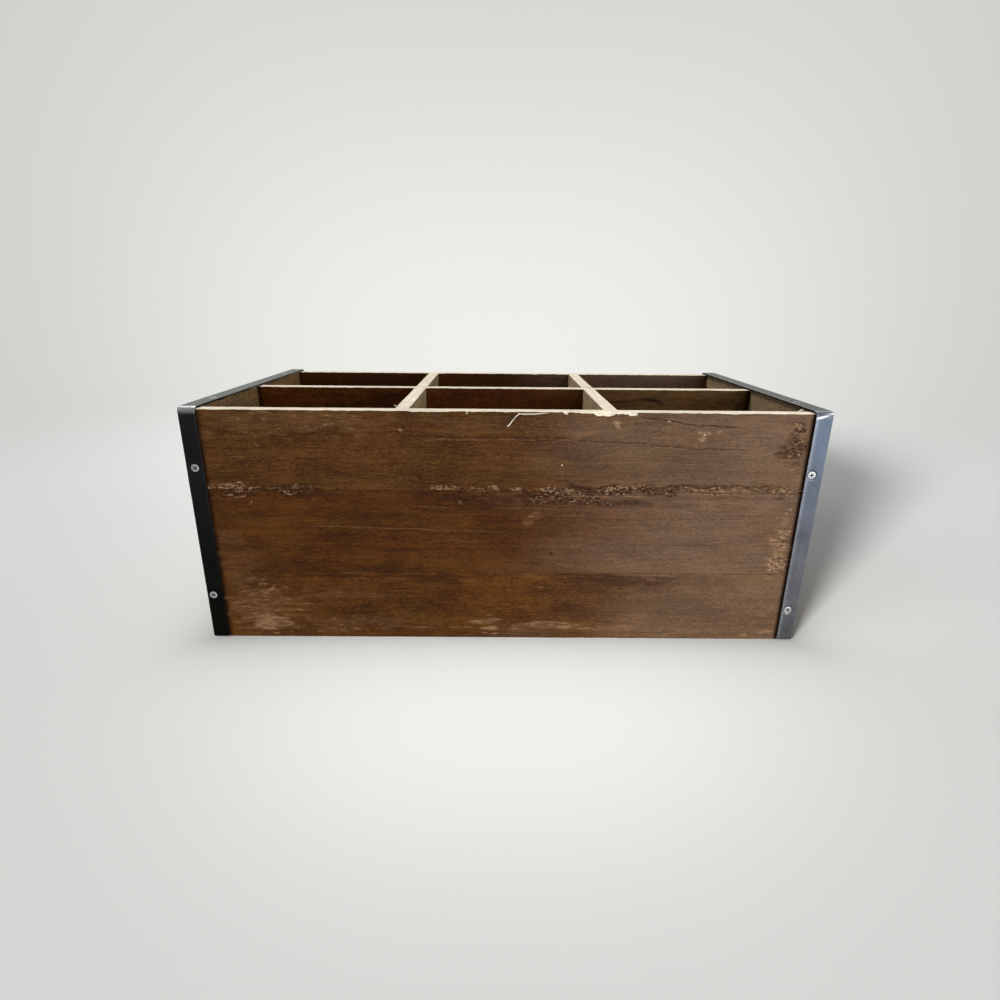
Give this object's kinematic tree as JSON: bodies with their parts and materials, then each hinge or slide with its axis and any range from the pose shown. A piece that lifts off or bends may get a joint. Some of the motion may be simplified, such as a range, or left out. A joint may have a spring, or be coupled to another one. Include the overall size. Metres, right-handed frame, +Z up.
{
  "type": "organizer box",
  "caption": "Open wooden organizer box with a grid of compartments and a steel band screwed over each end.",
  "frame": {"origin": "middle of the footprint, on the surface that the box stands on", "axes": "+X along the box from its left end to its right end, +Y from the front to the back, +Z up"},
  "size_m": [0.455, 0.2436, 0.1818],
  "materials": {
    "side_wood": "brown stained rough softwood, raw pale along the sawn top edges",
    "end_wood": "brown stained rough softwood",
    "divider_wood": "thinly stained softwood, raw pale top edges",
    "bottom_wood": "thin stained board",
    "band_steel": "dark mill steel, lightly rubbed along the edges and bends",
    "screw_zinc": "zinc plated",
    "brad_steel": "bare steel"
  },
  "bodies": {
    "root": {"back_bottom_stave": "side_wood", "back_brad_bottom_1": "brad_steel", "back_brad_bottom_2": "brad_steel", "back_brad_bottom_3": "brad_steel", "back_brad_divider_1_high": "brad_steel", "back_brad_divider_1_low": "brad_steel", "back_brad_divider_2_high": "brad_steel", "back_brad_divider_2_low": "brad_steel", "back_middle_stave": "side_wood", "back_top_stave": "side_wood", "bottom_board": "bottom_wood", "cross_divider_1": "divider_wood", "cross_divider_2": "divider_wood", "front_bottom_stave": "side_wood", "front_brad_bottom_1": "brad_steel", "front_brad_bottom_2": "brad_steel", "front_brad_bottom_3": "brad_steel", "front_brad_divider_1_high": "brad_steel", "front_brad_divider_1_low": "brad_steel", "front_brad_divider_2_high": "brad_steel", "front_brad_divider_2_low": "brad_steel", "front_middle_stave": "side_wood", "front_top_stave": "side_wood", "left_back_screw_high": "screw_zinc", "left_back_screw_low": "screw_zinc", "left_band": "band_steel", "left_brad_bottom_1": "brad_steel", "left_brad_bottom_2": "brad_steel", "left_brad_divider_high": "brad_steel", "left_brad_divider_low": "brad_steel", "left_end_bottom_stave": "end_wood", "left_end_middle_stave": "end_wood", "left_end_top_stave": "end_wood", "left_front_screw_high": "screw_zinc", "left_front_screw_low": "screw_zinc", "left_top_screw_back": "screw_zinc", "left_top_screw_front": "screw_zinc", "long_divider": "divider_wood", "right_back_screw_high": "screw_zinc", "right_back_screw_low": "screw_zinc", "right_band": "band_steel", "right_brad_bottom_1": "brad_steel", "right_brad_bottom_2": "brad_steel", "right_brad_divider_high": "brad_steel", "right_brad_divider_low": "brad_steel", "right_end_bottom_stave": "end_wood", "right_end_middle_stave": "end_wood", "right_end_top_stave": "end_wood", "right_front_screw_high": "screw_zinc", "right_front_screw_low": "screw_zinc", "right_top_screw_back": "screw_zinc", "right_top_screw_front": "screw_zinc"}
  },
  "joints": []
}
